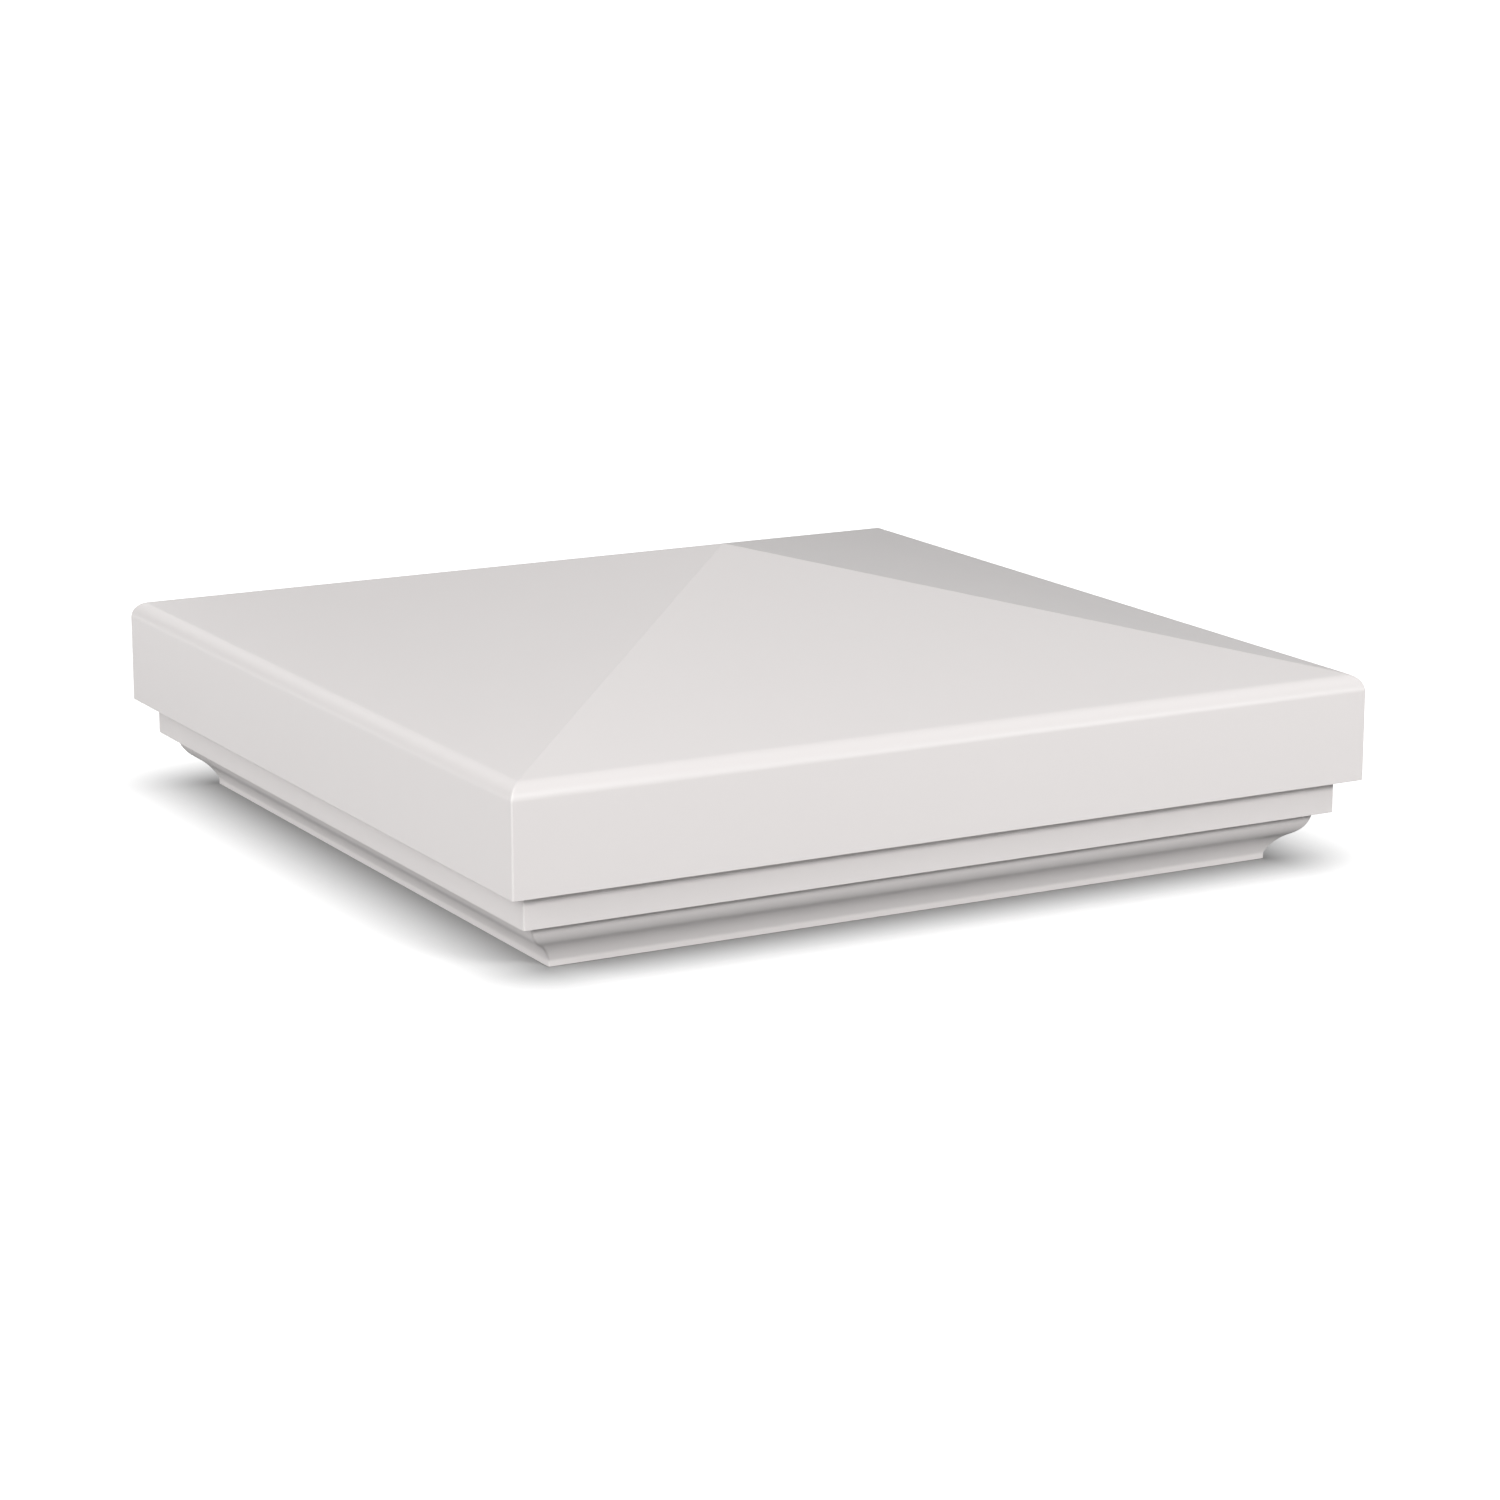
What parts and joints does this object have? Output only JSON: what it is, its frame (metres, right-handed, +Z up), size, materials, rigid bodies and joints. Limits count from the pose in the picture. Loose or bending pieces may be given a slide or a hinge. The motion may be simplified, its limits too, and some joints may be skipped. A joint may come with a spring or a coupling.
{
  "type": "balustrade pier cap",
  "caption": "Square pier cap with a low pyramid top that sheds water, a slab with a rolled upper edge, a stepped band and an ogee moulding above a flat bed.",
  "frame": {"origin": "centre of the flat bed, where the cap sits on its pier", "axes": "+Z up through the apex, +X and +Y square to the sides"},
  "size_m": [0.3514, 0.3514, 0.1095],
  "materials": {
    "primed_white": "smooth moulded skin with a satin white primer coat"
  },
  "bodies": {
    "root": {"pier_cap": "primed_white"}
  },
  "joints": []
}
